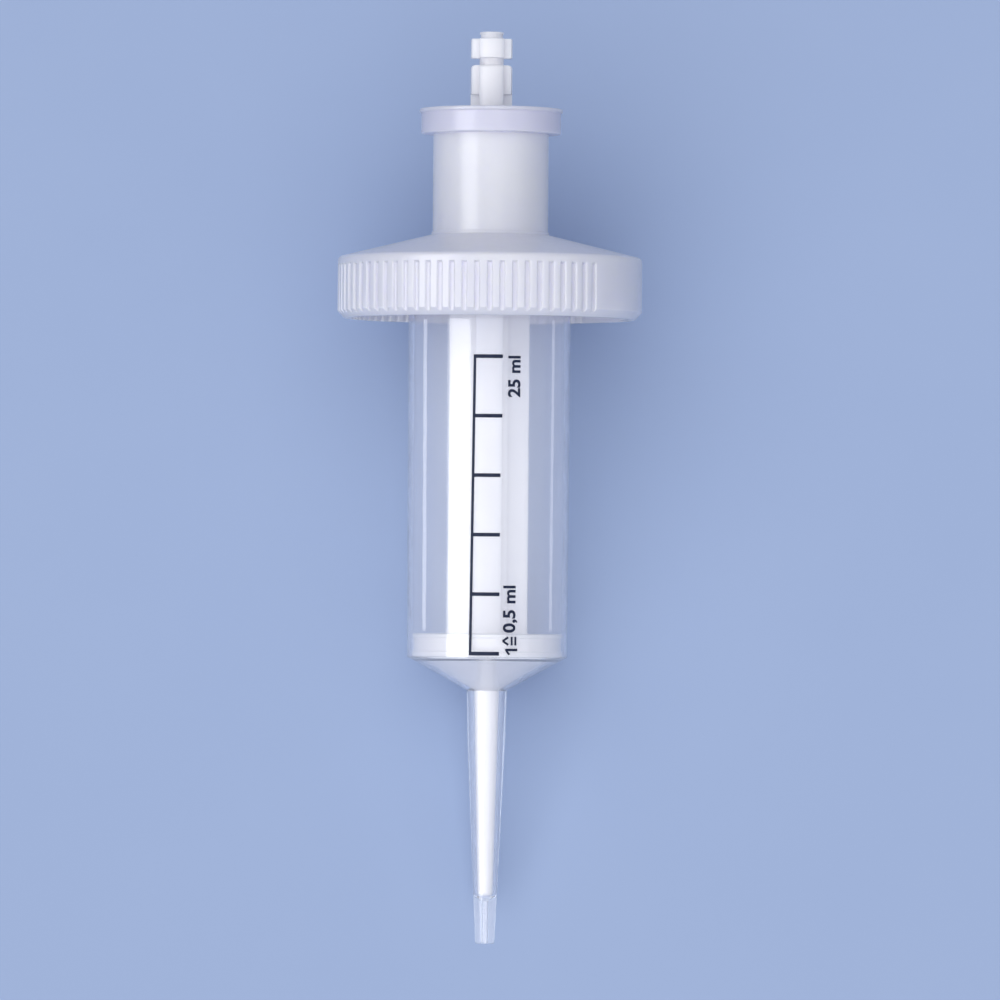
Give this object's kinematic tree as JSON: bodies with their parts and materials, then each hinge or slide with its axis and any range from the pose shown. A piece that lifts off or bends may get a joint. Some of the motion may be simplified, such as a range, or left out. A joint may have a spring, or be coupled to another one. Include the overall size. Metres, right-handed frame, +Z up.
{
  "type": "repeating pipette tip",
  "caption": "Large positive-displacement pipette tip: clear barrel with a printed scale and a long nozzle, white piston with a winged coupler, and a milky knurled adapter on a bayonet.",
  "frame": {"origin": "centre of the footprint, on the surface that the tip lies on", "axes": "+Y along the footprint towards the coupler end, +Z up; the tip's own axis leans up by 11.9 degrees towards +Y, and the printed scale faces up"},
  "size_m": [0.0512, 0.1504, 0.0517],
  "materials": {
    "clear_polypropylene": "clear natural polypropylene, slightly hazy, moulded gloss",
    "white_polyethylene": "opaque white polyethylene, satin",
    "milky_polypropylene": "translucent milky polypropylene, satin",
    "ink": "thin dark printing ink"
  },
  "bodies": {
    "barrel": {"barrel": "clear_polypropylene", "scale_print": "ink"},
    "piston": {"piston": "white_polyethylene"},
    "adapter": {"adapter": "milky_polypropylene"}
  },
  "joints": [
    {"name": "piston_slide", "type": "slide", "parent": "barrel", "child": "piston", "axis": [0, 0.9786, 0.2057], "range_m": [0, 0.0495]},
    {"name": "adapter_twist", "type": "hinge", "parent": "barrel", "child": "adapter", "pos_m": [0, 0.0352, 0.02637], "axis": [0, 0.9786, 0.2057], "range_deg": [0, 60]}
  ]
}
